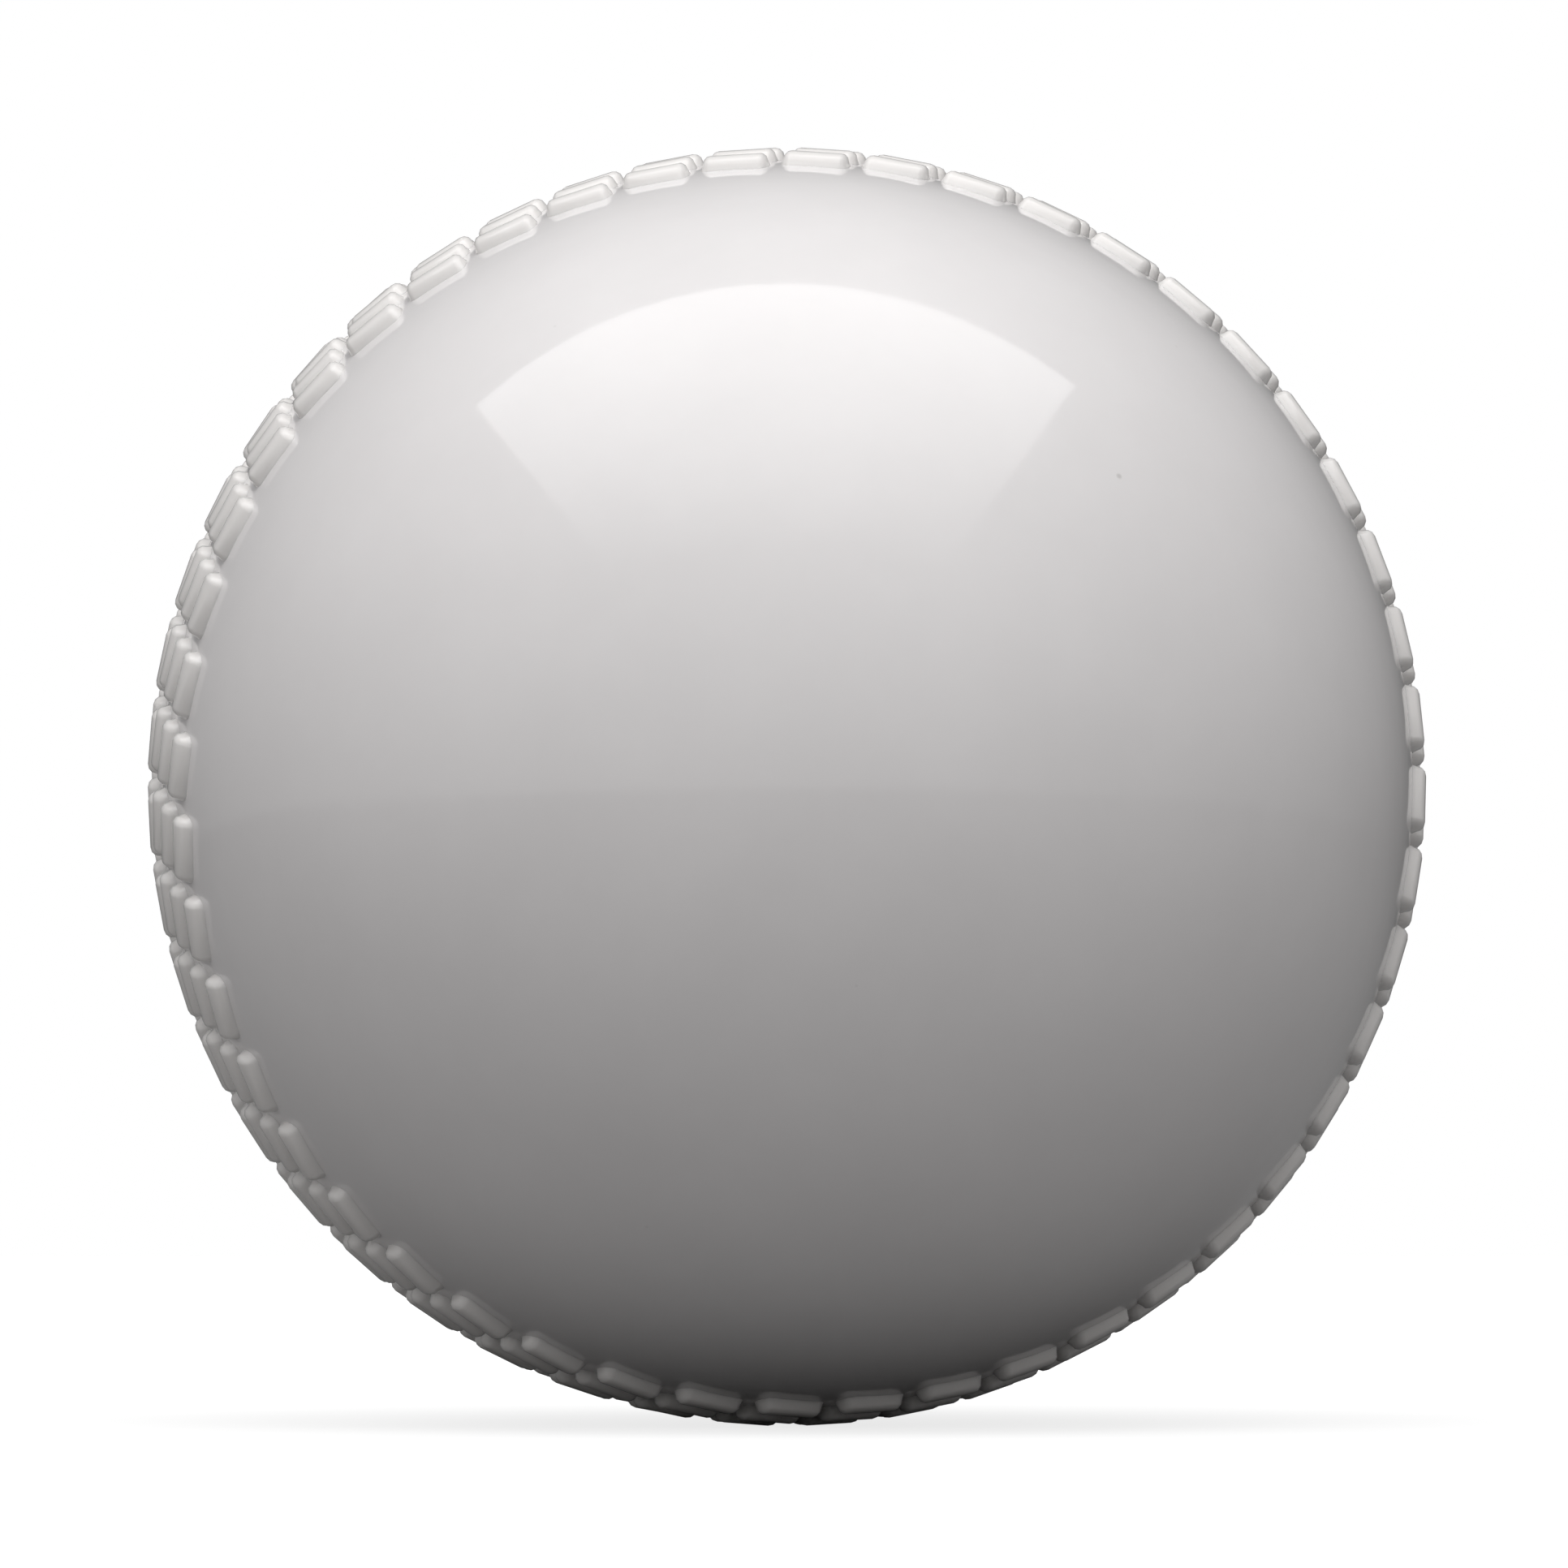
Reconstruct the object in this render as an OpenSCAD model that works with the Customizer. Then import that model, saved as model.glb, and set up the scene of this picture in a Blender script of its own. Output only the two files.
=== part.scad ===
// Soft cricket ball: two moulded cover cups sewn together over a foam core.
// The seam runs round the ball in the XZ plane, so the front cup faces -Y and +Z is up.
// Origin: the centre of the ball.

/* [Cover] */
// Diameter over the plain cover, beside the seam
cover_d = 70.6; // [66:0.2:78]
// Wall of each cover cup
cover_wall = 3; // [2.2:0.1:5]
// Gap between the rims of the two cups
joint_gap = 0.06; // [0.02:0.02:0.3]

/* [Stitches] */
// Pairs of stitches in each of the six rows
stitch_pairs = 24; // [16:1:26]
// Overall length of one stitch outside the cover
stitch_length = 3.9; // [3.5:0.1:4.1]
// How far a stitch stands out of the cover
stitch_height = 0.7; // [0.55:0.05:0.8]
// Radius of a stitch's arched top, across its length
stitch_arch = 1.55; // [1.45:0.05:2.2]
// Lean of each stitch from the line of its row, in degrees
stitch_slant = 18; // [0:1:22]
// Distance from one row to the next, measured along the cover
row_step = 2.7; // [2.5:0.1:3.2]
// How far each row runs ahead of the row behind it, measured along the seam
row_lead = 0.84; // [0.4:0.02:1.2]
// Gap between the stitches of neighbouring rows
row_gap = 0.45; // [0.2:0.05:0.8]
// Turn of the whole stitch pattern about the seam axis, in degrees
seam_turn = 3.5; // [0:0.1:15]

/* [Thread] */
// Distance between the centre lines of a stitch's two legs
leg_spread = 2.2; // [2:0.05:2.3]
// Diameter of the thread where a needle hole draws it in
leg_d = 1; // [0.7:0.05:1.1]
// Diameter of the thread where it lies inside
inside_d = 1.2; // [1.15:0.05:1.4]
// Height of an inside run's flat top above its centre line
inside_flat = 0.2; // [0.1:0.05:0.22]
// Depth of the inside thread's centre line below the cover's inner face
inside_depth = 0.5; // [0.4:0.05:1]
// Extra depth of the lower of the two threads that cross under the joint
cross_step = 1.4; // [1.2:0.05:2]

/* [Fits] */
// Play round the thread in its needle holes and foam slots, and under each stitch
thread_play = 0.05; // [0.03:0.01:0.1]
// Play between the foam core and the cover
core_play = 0.1; // [0.05:0.05:0.3]

/* [Hidden] */
// Whole pairs, because the two closing threads change sides at every stitch
stitch_count = 2 * round(stitch_pairs);
pitch = 360 / stitch_count;

cover_r = cover_d / 2;
inner_r = cover_r - cover_wall;
core_r = inner_r - core_play;

// Rows are numbered from the joint: 1 inner, 2 middle and 3 outer, and below zero in the rear cup
SIDE_ROWS = [1, 2, 3];

leg_r = leg_d / 2;
inside_r = inside_d / 2;
slot_r = inside_r + thread_play;
// An inside run is slimmer than its round ends by this much
run_waist = 0.02;

// Distance from the joint to the inner row of each cup: all six rows lie evenly side by side
inner_row_offset = (row_step + row_lead * tan(stitch_slant)) / 2;
stitch_width = 2 * inner_row_offset * cos(stitch_slant) - row_gap;

// Distances from the ball's centre to the thread's centre lines
stitch_axis_r = cover_r + stitch_height - stitch_arch;
// A stitch lies flat on the cover, this far above its centre line
stitch_flat = cover_r + thread_play - stitch_axis_r;
// Radius of the sphere that rounds off both ends of a stitch
stitch_end_r = norm([stitch_length / 2, stitch_flat]);
leg_top_r = cover_r + stitch_height / 3;
inside_axis_r = inner_r - inside_depth;
cross_axis_r = inside_axis_r - cross_step;
leg_reach = leg_spread / 2;
// How far the legs of a leaning stitch stand to either side of their row
row_sway = leg_reach * sin(stitch_slant);
// The two legs of a stitch are parallel, so each leans this far across its needle hole
leg_lean = leg_reach * cover_wall / cover_r;
hole_r = leg_r + leg_lean + thread_play;

$fn = 24;
cover_fn = 120;

// Angle at the ball's centre of a length measured along the cover
function arc_angle(length) = length / cover_r * 180 / PI;
// A row's steps outward from the inner row of its cup, below zero in the rear cup
function row_steps(row) = row - sign(row);
function row_lat(row) = arc_angle(sign(row) * inner_row_offset + row_steps(row) * row_step);
// The two inner rows are abreast, so that the closing threads cross evenly
function stitch_lon(row, i) = seam_turn + i * pitch + arc_angle(row_steps(row) * row_lead);
function spot(r, lat, lon) = r * [cos(lat) * cos(lon), cos(lat) * sin(lon), sin(lat)];
// Outward direction at the middle of a stitch, and the direction along it from start to end
function stitch_out(row, i) = spot(1, row_lat(row), stitch_lon(row, i));
function stitch_along(row, i) =
    cos(stitch_slant) * spot(1, 0, stitch_lon(row, i) + 90)
    - sin(stitch_slant) * spot(1, row_lat(row) + 90, stitch_lon(row, i));
// A point on a leg, or on the line through it: side is -1 at a stitch's start and 1 at its end
function leg_point(row, i, side, axis_r) =
    axis_r * stitch_out(row, i) + side * leg_reach * stitch_along(row, i);
function unit(v) = v / norm(v);
function is_front(row) = row > 0;

// The shapes are made with the seam axis along Z; this turns it to face the front
module in_place() { rotate([90, 0, 0]) children(); }

module rod(from, to, r) {
    run = to - from;
    translate(from)
        rotate([0, acos(run.z / norm(run)), atan2(run.y, run.x)])
            cylinder(h = norm(run), r = r);
}

// Sets children that point along X, with Z outwards, midway between two points
module between(from, to) {
    x = unit(to - from);
    z = unit(from + to);
    y = cross(z, x);
    middle = (from + to) / 2;
    multmatrix([[x.x, y.x, z.x, middle.x], [x.y, y.y, z.y, middle.y], [x.z, y.z, z.z, middle.z]])
        children();
}

// The part of a stitch that lies on the cover: arched above, domed at its ends and flat below
module outside_run(row, i) {
    reach = 2 * stitch_length;
    between(leg_point(row, i, -1, stitch_axis_r), leg_point(row, i, 1, stitch_axis_r))
        intersection() {
            rotate([0, 90, 0])
                intersection() {
                    cylinder(h = reach, r = stitch_arch, center = true);
                    sphere(r = stitch_end_r);
                }
            translate([-reach / 2, -stitch_width / 2, stitch_flat])
                cube([reach, stitch_width, reach]);
        }
}

// Thread through a needle hole, from a stitch to its foot inside the ball
module leg(row, i, side, axis_r) {
    rod(leg_point(row, i, side, leg_top_r), leg_point(row, i, side, axis_r), leg_r);
}

// Thread from the end of one stitch, under the cover, to the start of another: round ends, and
// flat above where its legs come down
module inside_run(from_row, to_row, i, axis_r) {
    from = leg_point(from_row, i, 1, axis_r);
    to = leg_point(to_row, i + 1, -1, axis_r);
    half = norm(to - from) / 2;
    reach = 2 * half + 4 * inside_r;
    leg(from_row, i, 1, axis_r);
    leg(to_row, i + 1, -1, axis_r);
    between(from, to)
        difference() {
            union() {
                rotate([0, 90, 0]) cylinder(h = 2 * half, r = inside_r - run_waist, center = true);
                for (end = [-half, half]) translate([end, 0, 0]) sphere(r = inside_r);
            }
            translate([-reach / 2, -reach / 2, inside_flat]) cube(reach);
        }
}

// A row that only quilts its own cup: over and under along one line
module running_thread(row) {
    for (i = [0 : stitch_count - 1]) {
        outside_run(row, i);
        inside_run(row, row, i, inside_axis_r);
    }
}

// One of the two threads that lace the cups together: front and rear stitches by turns.
// Runs from front to rear cross above those from rear to front.
module closing_thread(first_row) {
    for (i = [0 : stitch_count - 1]) {
        row = i % 2 == 0 ? first_row : -first_row;
        outside_run(row, i);
        inside_run(row, -row, i, is_front(row) ? inside_axis_r : cross_axis_r);
    }
}

// Holes that point at the ball's centre, drilled right through the wall
module needle_holes(row) {
    for (i = [0 : stitch_count - 1], side = [-1, 1]) {
        mouth = leg_point(row, i, side, cover_r);
        rod(1.1 * mouth, mouth / 2, hole_r);
    }
}

// side is 1 for the front cup and -1 for the rear cup
module cover_cup(side) {
    difference() {
        sphere(r = cover_r, $fn = cover_fn);
        sphere(r = inner_r, $fn = cover_fn);
        translate([0, 0, side * (joint_gap / 2 - cover_d)])
            cube(2 * cover_d, center = true);
        for (row = SIDE_ROWS) needle_holes(side * row);
    }
}

// Slot in the foam that takes one row's inside runs, which dip a little between their ends
module row_slot(row) {
    floor_r = inside_axis_r * cos(pitch / 2) - slot_r;
    half_width = slot_r + row_sway;
    rotate_extrude($fn = cover_fn)
        rotate(row_lat(row))
            translate([floor_r, -half_width])
                square([cover_r - floor_r, 2 * half_width]);
}

// Belt in the foam that takes the crossing threads under the joint
module joint_belt() {
    lat = row_lat(1);
    floor_r = cross_axis_r * cos(lat) * cos(pitch / 2) - slot_r;
    half_width = inner_r * sin(lat) + slot_r + row_sway;
    rotate_extrude($fn = cover_fn)
        translate([floor_r, -half_width])
            square([cover_r - floor_r, 2 * half_width]);
}

module foam_core() {
    color("#e3cf8e") in_place()
        difference() {
            sphere(r = core_r, $fn = cover_fn);
            joint_belt();
            for (row = [2, 3], side = [-1, 1])
                row_slot(side * row);
        }
}

module front_cover() { color("#e9e8e6") in_place() cover_cup(1); }
module rear_cover() { color("#e4e3e1") in_place() cover_cup(-1); }
module closing_thread_a() { color("#f1f0ec") in_place() closing_thread(1); }
module closing_thread_b() { color("#ecebe6") in_place() closing_thread(-1); }
module front_middle_thread() { color("#f1f0ec") in_place() running_thread(2); }
module front_outer_thread() { color("#f1f0ec") in_place() running_thread(3); }
module rear_middle_thread() { color("#f1f0ec") in_place() running_thread(-2); }
module rear_outer_thread() { color("#f1f0ec") in_place() running_thread(-3); }

foam_core();
front_cover();
rear_cover();
closing_thread_a();
closing_thread_b();
front_middle_thread();
front_outer_thread();
rear_middle_thread();
rear_outer_thread();
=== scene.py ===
# %% [markdown]
# # A soft cricket ball
# The ball is a foam core in two moulded cups of soft, glossy vinyl. Six rows of short, plump
# stitches run round the joint of the cups. This lesson dresses the CAD model of that ball: it
# models the cups, the threads and the core, gives each its finish, and lights them as in a
# small photo studio. We start by loading the CAD model.

# %% Load the CAD model
import math

import bpy
from mathutils import Matrix, Vector


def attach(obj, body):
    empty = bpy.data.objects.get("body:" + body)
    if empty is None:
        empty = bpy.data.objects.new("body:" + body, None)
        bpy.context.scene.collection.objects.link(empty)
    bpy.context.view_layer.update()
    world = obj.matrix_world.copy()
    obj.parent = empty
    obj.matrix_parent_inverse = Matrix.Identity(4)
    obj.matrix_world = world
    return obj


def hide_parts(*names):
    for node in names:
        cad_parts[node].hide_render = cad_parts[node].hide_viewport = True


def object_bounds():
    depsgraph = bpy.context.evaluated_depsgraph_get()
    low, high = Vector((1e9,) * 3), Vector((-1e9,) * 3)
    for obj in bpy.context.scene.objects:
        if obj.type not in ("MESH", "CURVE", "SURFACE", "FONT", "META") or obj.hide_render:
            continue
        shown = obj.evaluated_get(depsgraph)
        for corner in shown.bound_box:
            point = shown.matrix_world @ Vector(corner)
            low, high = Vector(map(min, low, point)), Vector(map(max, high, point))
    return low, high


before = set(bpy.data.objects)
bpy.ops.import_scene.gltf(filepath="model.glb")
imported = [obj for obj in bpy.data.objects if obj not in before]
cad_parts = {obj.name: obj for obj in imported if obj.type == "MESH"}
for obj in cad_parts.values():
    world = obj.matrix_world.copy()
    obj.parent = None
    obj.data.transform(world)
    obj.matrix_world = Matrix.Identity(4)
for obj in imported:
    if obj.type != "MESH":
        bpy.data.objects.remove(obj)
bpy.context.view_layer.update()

# %% [markdown]
# ## Sizes
# Every size is in millimetres here and is turned to metres by MM. The seam lies in the XZ
# plane and its axis is Y, so the front cup faces -Y, where the camera is. A stitch is placed
# by its latitude, the angle between its row and the joint, and by its longitude, the angle
# round the seam, from +X towards +Z.

# %% Sizes of the ball
MM = 0.001
COVER_R = 35.3
COVER_WALL = 3.0
JOINT_GAP = 0.06
CORE_R = 32.2
INSIDE_AXIS_R = 31.8
CROSS_AXIS_R = 30.4

STITCH_COUNT = 48
PITCH = math.tau / STITCH_COUNT
STITCH_HEIGHT = 0.7
STITCH_SLANT = math.radians(18)
SEAM_TURN = math.radians(3.5)
# Rows are numbered from the joint. A length along the cover over COVER_R is an angle in radians
INNER_ROW = 1.486
ROW_STEP = 2.7
ROW_LEAD = 0.84 / COVER_R
ROW_LATITUDE = {row: (INNER_ROW + (row - 1) * ROW_STEP) / COVER_R for row in (1, 2, 3)}
print("latitudes of the rows:", {k: round(math.degrees(v), 2) for k, v in ROW_LATITUDE.items()})

# %% [markdown]
# ## Helpers for modelling
# An operator acts on what is selected. The first helper clears the selection before we add a
# shape. The next two pick faces or edges of the active object by a test on where they lie and,
# for faces, on which way they look. They leave us in edit mode, as if we had clicked on them. The
# others extrude what is picked, settle a turn into the mesh and finish a piece.

# %% Selection helpers
# How near a place a corner, or the middle of a face, has to be to count as lying there
CORNER_NEAR = 0.01
FACE_NEAR = 0.1
# How much of a face's normal has to point a given way for the face to look that way
SAME_WAY = 0.95


def start_fresh():
    if bpy.context.object and bpy.context.object.mode != "OBJECT":
        bpy.ops.object.mode_set(mode="OBJECT")
    bpy.ops.object.select_all(action="DESELECT")


def pick_faces(test):
    bpy.ops.object.mode_set(mode="EDIT")
    bpy.ops.mesh.select_mode(type="FACE")
    bpy.ops.mesh.select_all(action="DESELECT")
    bpy.ops.object.mode_set(mode="OBJECT")
    for face in bpy.context.object.data.polygons:
        face.select = test(face.center / MM, face.normal)
    bpy.ops.object.mode_set(mode="EDIT")


def pick_edges(test):
    bpy.ops.object.mode_set(mode="EDIT")
    bpy.ops.mesh.select_mode(type="EDGE")
    bpy.ops.mesh.select_all(action="DESELECT")
    bpy.ops.object.mode_set(mode="OBJECT")
    mesh = bpy.context.object.data
    for edge in mesh.edges:
        ends = [mesh.vertices[index].co / MM for index in edge.vertices]
        edge.select = test(*ends)
    bpy.ops.object.mode_set(mode="EDIT")


def extrude(offset_mm):
    bpy.ops.mesh.extrude_region_move(TRANSFORM_OT_translate={"value": Vector(offset_mm) * MM})


def settle(turn):
    """Turns the active object, and puts its place, turn and scale into its mesh."""
    bpy.ops.object.mode_set(mode="OBJECT")
    bpy.context.object.rotation_euler = turn
    bpy.ops.object.transform_apply(location=True, rotation=True, scale=True)


def finish_piece(name, node, smooth_angle):
    """Names a piece, points its faces outwards and lets it stand for its CAD node."""
    piece = bpy.context.object
    piece.name = piece.data.name = name
    bpy.ops.object.mode_set(mode="EDIT")
    bpy.ops.mesh.select_all(action="SELECT")
    bpy.ops.mesh.normals_make_consistent(inside=False)
    bpy.ops.object.mode_set(mode="OBJECT")
    bpy.ops.object.shade_smooth_by_angle(angle=math.radians(smooth_angle))
    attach(piece, "root")
    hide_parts(node)
    print(name, "has", len(piece.data.polygons), "faces")
    return piece


# %% [markdown]
# ## The cover cups
# Each cup is a hemisphere of soft vinyl, 3 mm thick, with a flat rim that meets the other cup.
# We add a sphere whose poles lie on the seam axis, cut it at the joint with Bisect, and give it
# its wall with the Solidify modifier. The outer edge of the rim gets a small round bevel, so
# that the joint shows as a fine line between the two inner rows.

# %% Model the cups
CUP_SEGMENTS = 288
RIM_ROUND = 0.16


def cover_cup(name, node, side):
    """side is -1 for the front cup, which lies at -Y, and 1 for the rear cup."""
    start_fresh()
    bpy.ops.mesh.primitive_uv_sphere_add(segments=CUP_SEGMENTS, ring_count=CUP_SEGMENTS // 2,
                                         radius=COVER_R * MM)
    settle((math.pi / 2, 0, 0))
    bpy.ops.object.mode_set(mode="EDIT")
    bpy.ops.mesh.select_all(action="SELECT")
    bpy.ops.mesh.bisect(plane_co=(0, side * JOINT_GAP / 2 * MM, 0), plane_no=(0, side, 0),
                        clear_inner=True)
    bpy.ops.object.mode_set(mode="OBJECT")
    wall = bpy.context.object.modifiers.new("wall", "SOLIDIFY")
    wall.thickness = COVER_WALL * MM
    wall.offset = -1
    bpy.ops.object.modifier_apply(modifier=wall.name)
    pick_edges(lambda a, b: all(abs(end.y) < JOINT_GAP and end.length > COVER_R - COVER_WALL / 2
                                for end in (a, b)))
    bpy.ops.mesh.bevel(offset=RIM_ROUND * MM, segments=3, profile=0.5, affect="EDGES")
    return finish_piece(name, node, smooth_angle=40)


front_cup = cover_cup("front_cup", "front_cover", side=-1)
rear_cup = cover_cup("rear_cup", "rear_cover", side=1)

# %% [markdown]
# ## One stitch
# A stitch is a plump bar with round ends, and the clear coat fills the corner between it and the
# cover. We model it on the +X side of the ball, lying along Z. It starts as a flattened half
# sphere, the crown. Its rim is extruded down to the cover and widened, which makes the fillet of
# the coat. Then the shape is split in two, the halves move apart, and Bridge Edge Loops joins them
# with the bar's straight middle. The open underside is filled, and Bisect cuts mark two small
# squares on it. These are extruded down through the cover as the stitch's legs.

# %% Model the bar of a stitch
BAR_SEGMENTS = 12
BAR_LENGTH = 3.7
BAR_WIDTH = 1.9
# Length of each round end, and height of the crown
END_ROUND = 0.48
CROWN = 0.5
# Width of the coat's fillet at the sides and at the ends
SKIRT = 0.22
END_SKIRT = 0.1
# How deep the bar's underside lies in the cover
BED = 0.09
# From the bar's middle to the near and the far side of a leg
LEG_CUTS = (0.7, 1.5)
LEG_MIDDLE = sum(LEG_CUTS) / 2
LEG_HALF_WIDTH = 0.4
# Half the height of the thread where it links two stitches under the cover
LINK_HALF_HEIGHT = 0.35


def bar_of_a_stitch():
    foot = STITCH_HEIGHT - CROWN + BED
    start_fresh()
    bpy.ops.mesh.primitive_uv_sphere_add(segments=BAR_SEGMENTS, ring_count=BAR_SEGMENTS // 2,
                                         radius=MM)
    bpy.context.object.scale = (END_ROUND, BAR_WIDTH / 2, CROWN)
    settle((0, math.pi / 2, 0))
    bpy.ops.object.mode_set(mode="EDIT")
    bpy.ops.mesh.select_all(action="SELECT")
    bpy.ops.mesh.bisect(plane_co=(0, 0, 0), plane_no=(1, 0, 0), clear_inner=True)
    pick_edges(lambda a, b: max(a.x, b.x) < CORNER_NEAR)
    extrude((-foot, 0, 0))
    bpy.ops.transform.resize(value=(1, 1 + SKIRT * 2 / BAR_WIDTH, 1 + END_SKIRT / END_ROUND),
                             center_override=(0, 0, 0))
    half_middle = BAR_LENGTH / 2 - END_ROUND
    pick_faces(lambda middle, out: middle.z > 0)
    bpy.ops.mesh.split()
    bpy.ops.transform.translate(value=(0, 0, half_middle * MM))
    bpy.ops.mesh.select_all(action="INVERT")
    bpy.ops.transform.translate(value=(0, 0, -half_middle * MM))
    pick_edges(lambda a, b: all(abs(abs(end.z) - half_middle) < CORNER_NEAR for end in (a, b)))
    bpy.ops.mesh.bridge_edge_loops()
    pick_edges(lambda a, b: max(a.x, b.x) < CORNER_NEAR - foot)
    bpy.ops.mesh.edge_face_add()
    bpy.ops.object.mode_set(mode="OBJECT")
    bpy.context.object.location = ((COVER_R + STITCH_HEIGHT - CROWN) * MM, 0, 0)
    settle((0, 0, 0))
    cuts = [((0, 0, sign * z), (0, 0, 1)) for z in LEG_CUTS for sign in (-1, 1)]
    cuts += [((0, sign * LEG_HALF_WIDTH, 0), (0, 1, 0)) for sign in (-1, 1)]
    for place, normal in cuts:
        pick_faces(lambda middle, out: abs(out.x) > SAME_WAY
                   and middle.x < COVER_R - BED + CORNER_NEAR)
        bpy.ops.mesh.bisect(plane_co=Vector(place) * MM, plane_no=normal)


# %% [markdown]
# A leg ends in a foot under the cover. The stitch then leans out of the line of its row: its end
# is nearer the joint than its start. Last it is turned to the latitude of its row. Where a foot
# comes to lie after both turns is worked out with two rotation matrices.

# %% Lower the legs and lean the stitch
# A half link is made this many times too long, and trimmed where links meet
LINK_EXCESS = 1.5


def lower_leg(end, axis_r):
    """end is -1 for the leg at the stitch's start and 1 for the one at its end."""
    underside = COVER_R - BED
    pick_faces(lambda middle, out: abs(out.x) > SAME_WAY and middle.x < COVER_R
               and abs(middle.z - end * LEG_MIDDLE) < FACE_NEAR and abs(middle.y) < FACE_NEAR)
    extrude((axis_r + LINK_HALF_HEIGHT - underside, 0, 0))
    extrude((-2 * LINK_HALF_HEIGHT, 0, 0))


def lean_to(latitude):
    settle((-STITCH_SLANT, 0, 0))
    settle((0, 0, -latitude))
    return Matrix.Rotation(-latitude, 3, "Z") @ Matrix.Rotation(-STITCH_SLANT, 3, "X")


def extend_foot(turn, foot, facing, meeting_point):
    """Extrudes the face of a foot that looks a given way, past the point where links meet."""
    face_middle = turn @ (foot + LEG_HALF_WIDTH * facing)
    way = turn @ facing
    pick_faces(lambda middle, out: out.dot(way) > SAME_WAY
               and (middle - face_middle).length < FACE_NEAR)
    extrude((meeting_point - face_middle) * LINK_EXCESS)


# %% [markdown]
# ## The running threads
# The middle and outer row of each cup are running stitches: over and under along one line. So
# the unit that repeats is one stitch with half a link under the cover at each end. Bisect trims
# the half links on the planes midway to the next stitch. Spin with duplicates then sets the unit
# 48 times round the seam, and merging the open ends makes one endless thread of it.

# %% Model the running threads
# Open ends of half links that lie this near each other are merged
LINK_JOIN = 0.15


def running_unit(latitude):
    bar_of_a_stitch()
    for end in (-1, 1):
        lower_leg(end, INSIDE_AXIS_R)
    turn = lean_to(latitude)
    for end in (-1, 1):
        foot = Vector((INSIDE_AXIS_R, 0, end * LEG_MIDDLE))
        midway = INSIDE_AXIS_R * Vector((math.cos(latitude) * math.cos(PITCH / 2),
                                         -math.sin(latitude),
                                         end * math.cos(latitude) * math.sin(PITCH / 2)))
        extend_foot(turn, foot, Vector((0, 0, end)), midway)
        bpy.ops.mesh.select_all(action="SELECT")
        bpy.ops.mesh.bisect(plane_co=(0, 0, 0), clear_outer=True,
                            plane_no=(-math.sin(PITCH / 2), 0, end * math.cos(PITCH / 2)))


def repeat_round_seam(count):
    bpy.ops.object.mode_set(mode="EDIT")
    bpy.ops.mesh.select_all(action="SELECT")
    bpy.ops.mesh.spin(steps=count - 1, dupli=True, angle=math.tau * (count - 1) / count,
                      center=(0, 0, 0), axis=(0, 1, 0))
    bpy.ops.mesh.select_mode(type="VERT")
    bpy.ops.mesh.select_all(action="DESELECT")
    bpy.ops.mesh.select_non_manifold()
    bpy.ops.mesh.remove_doubles(threshold=LINK_JOIN * MM)


def running_thread(name, row, side):
    """side is 1 in the front cup, whose rows run ahead, and -1 in the rear cup."""
    running_unit(side * ROW_LATITUDE[row])
    repeat_round_seam(STITCH_COUNT)
    settle((0, -SEAM_TURN - side * (row - 1) * ROW_LEAD, 0))
    return finish_piece(name, name, smooth_angle=50)


threads = [running_thread("front_middle_thread", row=2, side=1),
           running_thread("front_outer_thread", row=3, side=1),
           running_thread("rear_middle_thread", row=2, side=-1),
           running_thread("rear_outer_thread", row=3, side=-1)]

# %% [markdown]
# ## The closing threads
# The two inner rows lace the cups together. Each closing thread makes a front stitch, crosses
# under the joint, makes a rear stitch, and crosses back at a deeper level, so that the crossing
# threads clear each other. The front stitch is modelled as before, with its half links cut at
# the joint plane. The rear one is a copy of it turned half round about the line from the ball's
# centre, which makes the half links meet.

# %% Model the closing threads
def closing_unit():
    bar_of_a_stitch()
    levels = {-1: CROSS_AXIS_R, 1: INSIDE_AXIS_R}
    for end, axis_r in levels.items():
        lower_leg(end, axis_r)
    turn = lean_to(ROW_LATITUDE[1])
    for end, axis_r in levels.items():
        foot = Vector((axis_r, 0, end * LEG_MIDDLE))
        crossing = Vector((axis_r * math.cos(PITCH / 2), 0, end * axis_r * math.sin(PITCH / 2)))
        extend_foot(turn, foot, Vector((0, 1, 0)), crossing)
    pick_faces(lambda middle, out: middle.length < COVER_R - COVER_WALL / 2)
    bpy.ops.mesh.bisect(plane_co=(0, 0, 0), plane_no=(0, 1, 0), clear_outer=True)
    bpy.ops.object.mode_set(mode="OBJECT")


def closing_thread(name, first_turn):
    closing_unit()
    front_stitch = bpy.context.object
    rear_stitch = front_stitch.copy()
    rear_stitch.data = front_stitch.data.copy()
    bpy.context.collection.objects.link(rear_stitch)
    start_fresh()
    bpy.context.view_layer.objects.active = rear_stitch
    rear_stitch.select_set(True)
    settle((math.pi, 0, 0))
    settle((0, -PITCH, 0))
    front_stitch.select_set(True)
    bpy.context.view_layer.objects.active = front_stitch
    bpy.ops.object.join()
    repeat_round_seam(STITCH_COUNT // 2)
    settle((0, -SEAM_TURN - first_turn, 0))
    return finish_piece(name, name, smooth_angle=50)


threads += [closing_thread("closing_thread_a", first_turn=0),
            closing_thread("closing_thread_b", first_turn=PITCH)]

# %% [markdown]
# ## The foam core
# The core is a ball of foam that just fits the cover. Nothing of it shows, but the part is kept
# whole. The threads under the cover press into it: we cut its skin with Bisect at the edges of
# each slot and sink the strips between the cuts.

# %% Model the core
CORE_SEGMENTS = 96
SLOT_HALF_WIDTH = 1.0
SLOT_DEPTH = 1.2
BELT_HALF_WIDTH = 2.35
BELT_DEPTH = 2.6


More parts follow.
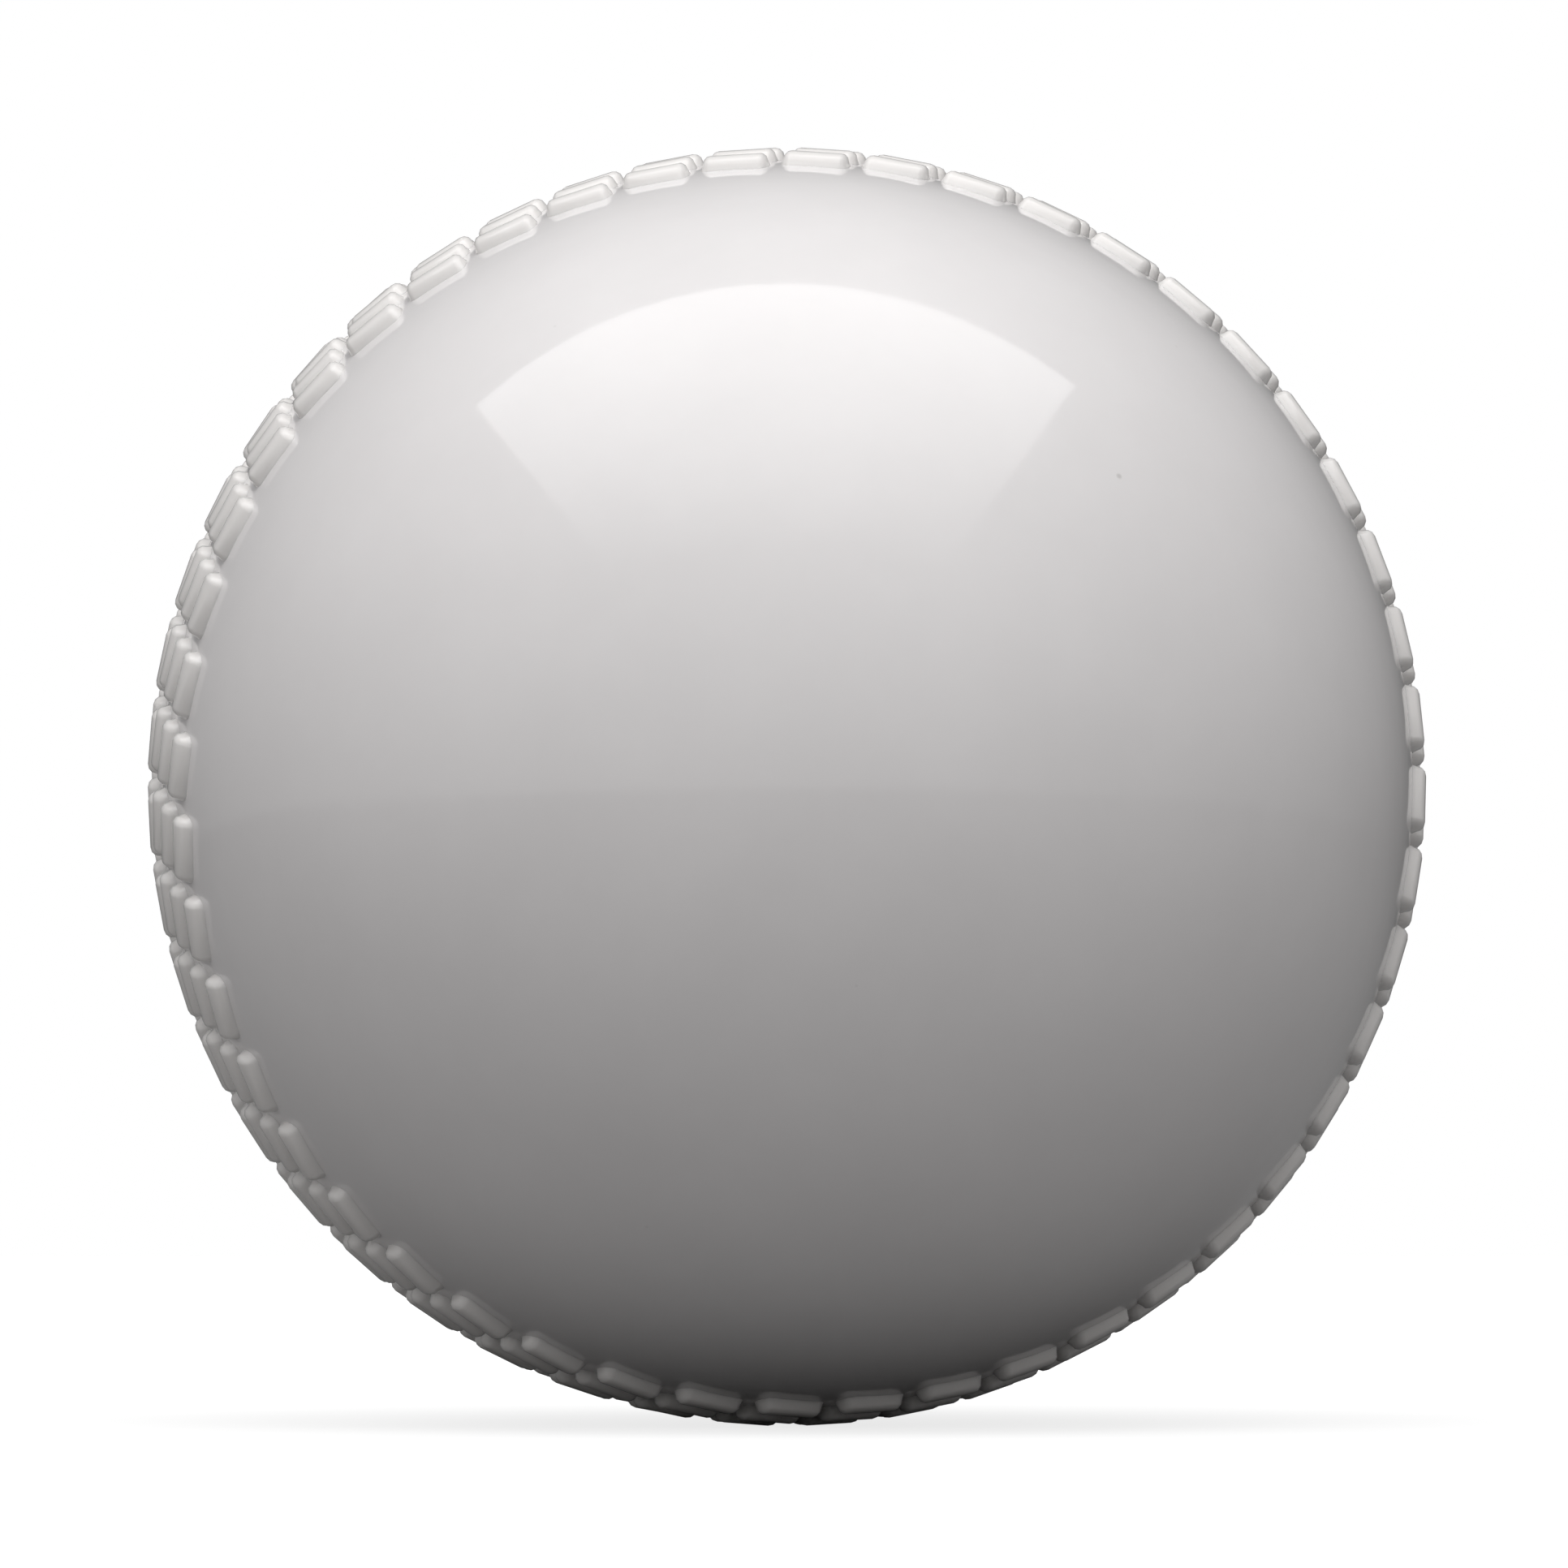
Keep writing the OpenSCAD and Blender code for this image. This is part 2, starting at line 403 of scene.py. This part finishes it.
def foam_core():
    start_fresh()
    bpy.ops.mesh.primitive_uv_sphere_add(segments=CORE_SEGMENTS, ring_count=CORE_SEGMENTS // 2,
                                         radius=CORE_R * MM)
    settle((math.pi / 2, 0, 0))
    strips = [(0.0, BELT_HALF_WIDTH, BELT_DEPTH)]
    strips += [(side * CORE_R * math.sin(ROW_LATITUDE[row]), SLOT_HALF_WIDTH, SLOT_DEPTH)
               for row in (2, 3) for side in (-1, 1)]
    for middle_y, half_width, depth in strips:
        for edge_y in (middle_y - half_width, middle_y + half_width):
            bpy.ops.object.mode_set(mode="EDIT")
            bpy.ops.mesh.select_all(action="SELECT")
            bpy.ops.mesh.bisect(plane_co=(0, edge_y * MM, 0), plane_no=(0, 1, 0))
        pick_faces(lambda middle, out: abs(middle.y - middle_y) < half_width)
        bpy.ops.mesh.extrude_region_shrink_fatten(
            TRANSFORM_OT_shrink_fatten={"value": -depth * MM})
    return finish_piece("foam_core_body", "foam_core", smooth_angle=30)


core = foam_core()

# %% [markdown]
# ## Helpers for materials
# Colours are written as on a paint card, in sRGB hex, and turned to the linear values that the
# shader works with. One small function adds a node, sets its properties and its inputs, and
# links an input where it is given another node's output.

# %% Node helpers
def colour(code):
    channels = [int(code[i:i + 2], 16) / 255 for i in (1, 3, 5)]
    linear = [c / 12.92 if c <= 0.04045 else ((c + 0.055) / 1.055) ** 2.4 for c in channels]
    return (*linear, 1.0)


def add(tree, kind, inputs=None, **settings):
    node = tree.nodes.new(kind)
    for name, value in settings.items():
        setattr(node, name, value)
    for key, value in (inputs or {}).items():
        if isinstance(value, bpy.types.NodeSocket):
            tree.links.new(value, node.inputs[key])
        else:
            node.inputs[key].default_value = value
    return node


def new_material(name):
    material = bpy.data.materials.new(name)
    material.use_nodes = True
    material.node_tree.nodes.clear()
    return material, material.node_tree


def scale_of(size_mm):
    """Scale of a pattern whose features are size_mm across."""
    return 1 / (size_mm * MM)


# %% [markdown]
# ## Lacquered soft vinyl
# The cups are moulded in white plasticised PVC and have a clear, glossy skin. To the eye that is
# a slightly uneven white with a sharp, pale reflection on top. A Principled shader gives the
# vinyl, and its coat gives the skin. Broad noise mottles the white, a fine noise leaves the
# orange-peel that moulding gives, and sparse specks are the dust that such a ball picks up.

# %% Vinyl material
def lacquered_vinyl():
    material, tree = new_material("lacquered_soft_vinyl")
    place = add(tree, "ShaderNodeTexCoord").outputs["Object"]
    mottle = add(tree, "ShaderNodeTexNoise", {"Vector": place, "Scale": scale_of(9), "Detail": 4.0,
                                              "Roughness": 0.6})
    white = add(tree, "ShaderNodeMix", {0: mottle.outputs["Fac"], 6: colour("#dedbdb"),
                                        7: colour("#e8e5e5")}, data_type="RGBA")
    # Specks of dust: a soft dot, about 0.3 mm wide, in one of six cells that are 5 mm wide
    cells = add(tree, "ShaderNodeTexVoronoi", {"Vector": place, "Scale": scale_of(5)})
    dot = add(tree, "ShaderNodeMapRange", {"Value": cells.outputs["Distance"], "From Min": 0.02,
                                           "From Max": 0.045, "To Min": 1.0, "To Max": 0.0})
    lot = add(tree, "ShaderNodeSeparateColor", {"Color": cells.outputs["Color"]})
    chosen = add(tree, "ShaderNodeMath", {0: lot.outputs["Red"], 1: 0.84}, operation="GREATER_THAN")
    speck = add(tree, "ShaderNodeMath", {0: dot.outputs["Result"], 1: chosen.outputs["Value"]},
                operation="MULTIPLY")
    faint = add(tree, "ShaderNodeMath", {0: speck.outputs["Value"], 1: 0.35}, operation="MULTIPLY")
    dusty = add(tree, "ShaderNodeMix", {0: faint.outputs["Value"], 6: white.outputs[2],
                                        7: colour("#8d8884")}, data_type="RGBA")
    # Orange-peel of the moulding, 1.4 mm across, and a long unevenness of the soft wall
    peel = add(tree, "ShaderNodeTexNoise", {"Vector": place, "Scale": scale_of(1.4), "Detail": 2.0})
    waves = add(tree, "ShaderNodeTexNoise", {"Vector": place, "Scale": scale_of(16), "Detail": 1.0})
    wavy = add(tree, "ShaderNodeBump", {"Height": waves.outputs["Fac"], "Strength": 0.25,
                                        "Distance": 0.2 * MM})
    skin = add(tree, "ShaderNodeBump", {"Height": peel.outputs["Fac"], "Strength": 0.12,
                                        "Distance": 0.02 * MM, "Normal": wavy.outputs["Normal"]})
    haze = add(tree, "ShaderNodeMapRange", {"Value": mottle.outputs["Fac"], "From Min": 0.3,
                                            "From Max": 0.7, "To Min": 0.05, "To Max": 0.09})
    shader = add(tree, "ShaderNodeBsdfPrincipled", {
        "Base Color": dusty.outputs[2], "Roughness": 0.45, "IOR": 1.53, "Specular IOR Level": 0.35,
        "Coat Weight": 1.0, "Coat Roughness": haze.outputs["Result"], "Coat IOR": 1.5,
        "Normal": skin.outputs["Normal"], "Coat Normal": skin.outputs["Normal"]})
    add(tree, "ShaderNodeOutputMaterial", {"Surface": shader.outputs["BSDF"]})
    return material


vinyl = lacquered_vinyl()
for cup in (front_cup, rear_cup):
    cup.data.materials.append(vinyl)
print("cups wear", vinyl.name)

# %% [markdown]
# ## Coated thread
# The stitches are a thick polyester thread under the same clear coat, so no strands show: each
# is a smooth, plump, slightly warmer white bar. The coat is a little softer than on the cups, so
# the heads of the stitches catch the light as small beads. Some light scatters inside the thread,
# which softens the shade between the rows.

# %% Thread material
def coated_thread():
    material, tree = new_material("coated_polyester_thread")
    place = add(tree, "ShaderNodeTexCoord").outputs["Object"]
    mottle = add(tree, "ShaderNodeTexNoise", {"Vector": place, "Scale": scale_of(4), "Detail": 3.0})
    white = add(tree, "ShaderNodeMix", {0: mottle.outputs["Fac"], 6: colour("#dfdcda"),
                                        7: colour("#eae7e5")}, data_type="RGBA")
    grain = add(tree, "ShaderNodeTexNoise", {"Vector": place, "Scale": scale_of(0.5),
                                             "Detail": 2.0})
    skin = add(tree, "ShaderNodeBump", {"Height": grain.outputs["Fac"], "Strength": 0.15,
                                        "Distance": 0.03 * MM})
    shader = add(tree, "ShaderNodeBsdfPrincipled", {
        "Base Color": white.outputs[2], "Roughness": 0.45, "IOR": 1.53, "Specular IOR Level": 0.35,
        "Subsurface Weight": 0.5, "Subsurface Radius": (1.0, 1.0, 1.0),
        "Subsurface Scale": 0.5 * MM,
        "Coat Weight": 1.0, "Coat Roughness": 0.12, "Coat IOR": 1.5,
        "Normal": skin.outputs["Normal"], "Coat Normal": skin.outputs["Normal"]})
    add(tree, "ShaderNodeOutputMaterial", {"Surface": shader.outputs["BSDF"]})
    return material


thread_finish = coated_thread()
for thread in threads:
    thread.data.materials.append(thread_finish)
print(len(threads), "threads wear", thread_finish.name)

# %% [markdown]
# ## Open-cell foam
# The core is a pale yellow polyurethane foam. Its open cells, about 0.8 mm across, are pits in a
# matt surface: Voronoi cells drive the bump, and a darker colour at the bottom of each pit is
# painted shade.

# %% Foam material
def open_cell_foam():
    material, tree = new_material("open_cell_polyurethane_foam")
    place = add(tree, "ShaderNodeTexCoord").outputs["Object"]
    cells = add(tree, "ShaderNodeTexVoronoi", {"Vector": place, "Scale": scale_of(0.8)})
    # Painted shade: the colour is darker at the bottom of each pit, in the middle of its cell
    painted_pit_shade = add(tree, "ShaderNodeMix", {0: cells.outputs["Distance"], 6: colour("#b79d5c"),
                                       7: colour("#ead9a2")}, data_type="RGBA")
    pits = add(tree, "ShaderNodeBump", {"Height": cells.outputs["Distance"], "Strength": 0.7,
                                        "Distance": 0.3 * MM})
    shader = add(tree, "ShaderNodeBsdfPrincipled", {
        "Base Color": painted_pit_shade.outputs[2], "Roughness": 0.9, "IOR": 1.45,
        "Normal": pits.outputs["Normal"]})
    add(tree, "ShaderNodeOutputMaterial", {"Surface": shader.outputs["BSDF"]})
    return material


core.data.materials.append(open_cell_foam())
print("core wears", core.data.materials[0].name)

# %% [markdown]
# ## The floor
# The ball stands on a white table. The camera sees it white, apart from the ball's soft shadow,
# but the light that it throws back at the ball is kept low, so that the underside stays dark.
# Light Path tells the two kinds of ray apart. To the camera the table also glows with painted
# light, weaker next to the ball and full from 20 cm away. This keeps the far table white and
# lets the real shadow show near the ball.

# %% Make the floor
FLOOR_R = 900.0
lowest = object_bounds()[0][2]
start_fresh()
bpy.ops.mesh.primitive_circle_add(vertices=64, radius=FLOOR_R * MM, fill_type="NGON",
                                  location=(0, 0, lowest))
bpy.ops.object.transform_apply(location=True)
floor = bpy.context.object
floor.name = "table_top"


def white_table():
    material, tree = new_material("white_table")
    ray = add(tree, "ShaderNodeLightPath")
    place = add(tree, "ShaderNodeTexCoord").outputs["Object"]
    away = add(tree, "ShaderNodeVectorMath", {0: place}, operation="LENGTH")
    # Painted light: the camera sees the table glow at 0.8 next to the ball, rising to 1.0 at 20 cm
    painted_glow_fade = add(tree, "ShaderNodeMapRange", {"Value": away.outputs["Value"], "From Min": 0.04,
                                            "From Max": 0.2, "To Min": 0.8, "To Max": 1.0})
    lit = add(tree, "ShaderNodeBsdfDiffuse", {"Color": colour("#8a8a8a")})
    glow = add(tree, "ShaderNodeEmission", {"Color": colour("#ffffff"),
                                            "Strength": painted_glow_fade.outputs["Result"]})
    seen = add(tree, "ShaderNodeAddShader", {0: lit.outputs["BSDF"], 1: glow.outputs["Emission"]})
    dark = add(tree, "ShaderNodeBsdfDiffuse", {"Color": colour("#7a7a7a")})
    pick = add(tree, "ShaderNodeMixShader", {"Fac": ray.outputs["Is Camera Ray"],
                                             1: dark.outputs["BSDF"], 2: seen.outputs["Shader"]})
    add(tree, "ShaderNodeOutputMaterial", {"Surface": pick.outputs["Shader"]})
    return material


floor.data.materials.append(white_table())
print("floor at", round(lowest * 1000, 2), "mm")

# %% [markdown]
# ## The light
# A wide softbox hangs above the ball and a little to the front. Its sharp far edge is the curved
# line that the lacquer shows near the top, and its glow falls off towards the camera. A second,
# higher box fills in the upper front and leaves no reflection of its own. Lamps, room and camera
# are all placed as seen from the camera, and FACING turns them to the ball.

# %% Hang the softboxes
CAMERA_TURN = math.radians(-7.3)
CAMERA_RISE = math.radians(-1.8)
FACING = Matrix.Rotation(CAMERA_TURN, 3, "Z") @ Matrix.Rotation(-CAMERA_RISE, 3, "X")


def softbox(name, place, size, energy, aim):
    """Hangs a softbox at a place given as seen from the camera: right, away and up, in metres."""
    lamp = bpy.data.lights.new(name, "AREA")
    lamp.shape = "RECTANGLE"
    lamp.size, lamp.size_y = size
    lamp.energy = energy
    holder = bpy.data.objects.new(name, lamp)
    bpy.context.collection.objects.link(holder)
    holder.location = FACING @ Vector(place)
    look = (Vector(aim) - Vector(place)).to_track_quat("-Z", "Y").to_matrix()
    holder.rotation_euler = (FACING @ look).to_euler()
    return holder


top_light = softbox("top_softbox", place=(-0.022, -0.2, 0.45), size=(0.69, 0.57), energy=1.5,
                    aim=(-0.022, -0.2, 0))
top_light.data.use_nodes = True
tree = top_light.data.node_tree
tree.nodes.clear()
across = add(tree, "ShaderNodeSeparateXYZ",
             {"Vector": add(tree, "ShaderNodeNewGeometry").outputs["Parametric"]})
fall_off = add(tree, "ShaderNodeMapRange", {"Value": across.outputs["Y"], "From Min": 0.0,
                                            "From Max": 0.95, "To Min": 0.0, "To Max": 1.6})
glow = add(tree, "ShaderNodeEmission", {"Color": colour("#ffffff"),
                                        "Strength": fall_off.outputs["Result"]})
add(tree, "ShaderNodeOutputLight", {"Surface": glow.outputs["Emission"]})
high_fill = softbox("high_fill", place=(0.0, -0.68, 1.17), size=(0.6, 0.6), energy=2.7,
                    aim=(0, 0, 0))
high_fill.visible_glossy = False
print("softboxes at", [[round(v, 2) for v in box.location] for box in (top_light, high_fill)], "m")

# %% [markdown]
# ## The room
# The room is brightest above the camera and black behind the ball, but the camera itself sees a
# white background. The lacquer mirrors a tenth of that white, which lifts its darkest edges.

# %% Set the room
world = bpy.data.worlds.new("studio")
bpy.context.scene.world = world
world.use_nodes = True
tree = world.node_tree
tree.nodes.clear()
ray = add(tree, "ShaderNodeLightPath")
bright_side = FACING @ Vector((-0.13, -0.75, 0.64))
way = add(tree, "ShaderNodeVectorMath",
          {0: add(tree, "ShaderNodeTexCoord").outputs["Generated"], 1: bright_side},
          operation="DOT_PRODUCT")
dim = add(tree, "ShaderNodeMapRange", {"Value": way.outputs["Value"], "From Min": -0.75,
                                       "From Max": 1.0, "To Min": 0.0, "To Max": 0.84})
room = add(tree, "ShaderNodeBackground", {"Color": colour("#ffffff"),
                                          "Strength": dim.outputs["Result"]})
white = add(tree, "ShaderNodeBackground", {"Color": colour("#ffffff"), "Strength": 1.0})
mirrored = add(tree, "ShaderNodeMath", {0: ray.outputs["Is Glossy Ray"], 1: 0.1},
               operation="MULTIPLY")
through = add(tree, "ShaderNodeMath", {0: ray.outputs["Is Camera Ray"],
                                       1: ray.outputs["Is Transmission Ray"]}, operation="ADD")
seen = add(tree, "ShaderNodeMath", {0: through.outputs["Value"], 1: mirrored.outputs["Value"]},
           operation="ADD", use_clamp=True)
sky = add(tree, "ShaderNodeMixShader", {"Fac": seen.outputs["Value"],
                                        1: room.outputs["Background"],
                                        2: white.outputs["Background"]})
add(tree, "ShaderNodeOutputWorld", {"Surface": sky.outputs["Shader"]})
print("the room is dim, and white to the camera")

# %% [markdown]
# ## The camera
# The camera looks at the ball's centre with a long lens, from a little to the left and a little
# below. The small shifts put the ball where the picture frames it.

# %% Place the camera
CAMERA_DISTANCE = 0.63
CAMERA_LENS = 256.3
# Width of the picture, and the shifts to the right and up, in its pixels
PICTURE_WIDTH = 1932
SHIFT_RIGHT = -3.5
SHIFT_UP = 3.3
camera_data = bpy.data.cameras.new("studio_camera")
camera_data.lens = CAMERA_LENS
camera_data.shift_x = SHIFT_RIGHT / PICTURE_WIDTH
camera_data.shift_y = SHIFT_UP / PICTURE_WIDTH
camera = bpy.data.objects.new("studio_camera", camera_data)
bpy.context.collection.objects.link(camera)
camera.location = FACING @ Vector((0, -CAMERA_DISTANCE, 0))
camera.rotation_euler = (-camera.location).to_track_quat("-Z", "Y").to_euler()
bpy.context.scene.camera = camera
bpy.context.scene.view_settings.view_transform = "Standard"
print("camera at", [round(v, 3) for v in camera.location], "m")
